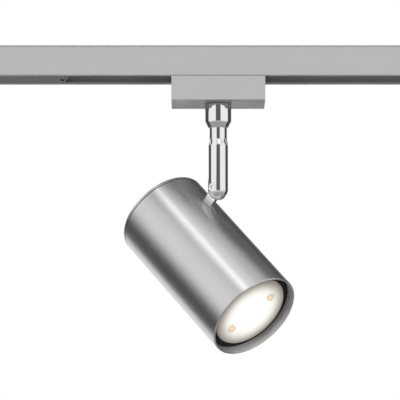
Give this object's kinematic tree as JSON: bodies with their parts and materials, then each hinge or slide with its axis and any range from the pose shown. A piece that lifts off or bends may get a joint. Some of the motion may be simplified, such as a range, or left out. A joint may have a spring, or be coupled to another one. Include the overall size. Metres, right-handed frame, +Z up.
{
  "type": "track spotlight",
  "caption": "Track spotlight: a short section of surface track, a sliding and locking adapter, a swivelling stem with a knuckle, and a tubular head that holds a reflector lamp.",
  "frame": {"origin": "on the ceiling face of the track, straight above the stem with the adapter at rest", "axes": "+X along the track, +Z up into the ceiling, -Y towards the side it is looked at from"},
  "size_m": [0.305, 0.1016, 0.1922],
  "materials": {
    "track_enamel": "satin light grey powder coat",
    "grey_plastic": "satin light grey, matched to the track",
    "white_plastic": "matte white insulation",
    "copper": "bright copper",
    "brass": "bright brass",
    "zinc_steel": "zinc plated",
    "black_plastic": "matte black",
    "chrome": "polished",
    "brushed_nickel": "brushed along the tube, clear lacquer",
    "ceramic": "unglazed steatite",
    "lead_sleeve": "silicone sleeve",
    "lamp_shell": "warm light grey",
    "lamp_optic": "clear moulded optic, lit warm white",
    "led_phosphor": "yellow phosphor, lit warm white",
    "board_white": "white solder mask",
    "board_green": "green solder mask",
    "feed_plastic": "satin light grey"
  },
  "bodies": {
    "track": {"track_profile": "track_enamel", "insulator_front": "black_plastic", "insulator_rear": "black_plastic", "conductor_live": "copper", "conductor_neutral": "copper", "end_cap": "grey_plastic", "feed_housing": "feed_plastic", "feed_cover": "black_plastic", "feed_terminal": "white_plastic", "feed_terminal_screws": "zinc_steel", "feed_contacts": "copper"},
    "adapter": {"adapter_housing": "grey_plastic", "adapter_plate": "grey_plastic", "adapter_screws": "zinc_steel", "swivel_bush": "brass", "adapter_terminal": "white_plastic", "adapter_leads": "lead_sleeve", "earth_contact": "brass"},
    "lock": {"lock_rotor": "black_plastic", "lock_plate": "zinc_steel", "lock_lever": "black_plastic", "contact_carrier": "white_plastic", "contact_live": "copper", "contact_neutral": "copper", "rotor_screw": "zinc_steel"},
    "stem": {"swivel_collar": "chrome", "stem_tube": "chrome", "swivel_washer": "zinc_steel", "swivel_nut": "brass", "pivot_screw": "chrome", "pivot_nut": "chrome", "friction_washers": "zinc_steel", "stem_leads": "lead_sleeve"},
    "head": {"head_tube": "brushed_nickel", "back_cap": "brushed_nickel", "back_screw": "brushed_nickel", "cap_post": "zinc_steel", "tilt_blade": "chrome", "blade_screws": "zinc_steel", "holder_bracket": "zinc_steel", "bracket_screws": "zinc_steel", "lamp_holder": "ceramic", "holder_contacts": "brass", "head_leads": "lead_sleeve", "centring_ring": "black_plastic"},
    "lamp": {"lamp_body": "lamp_shell", "lamp_base": "lamp_shell", "lamp_pins": "zinc_steel", "lamp_lens": "lamp_optic", "lens_screws": "brass", "led_board": "board_white", "led_chips": "led_phosphor", "driver_board": "board_green"}
  },
  "joints": [
    {"name": "track_slide", "type": "slide", "parent": "track", "child": "adapter", "axis": [1, 0, 0], "range_m": [-0.065, 0.098]},
    {"name": "lock_lever_turn", "type": "hinge", "parent": "adapter", "child": "lock", "pos_m": [0, 0, -0.02], "axis": [0, 0, 1], "range_deg": [0, 84]},
    {"name": "swivel", "type": "hinge", "parent": "adapter", "child": "stem", "pos_m": [0, 0, -0.034], "axis": [0, 0, 1], "range_deg": [-175, 175]},
    {"name": "tilt", "type": "hinge", "parent": "stem", "child": "head", "pos_m": [0, 0, -0.0877], "axis": [0.6561, 0.7547, 0], "range_deg": [-43, 47]},
    {"name": "lamp_twist", "type": "hinge", "parent": "head", "child": "lamp", "pos_m": [-0.02085, 0.01812, -0.11732], "axis": [-0.552, 0.4798, 0.682], "range_deg": [-30, 0]}
  ]
}
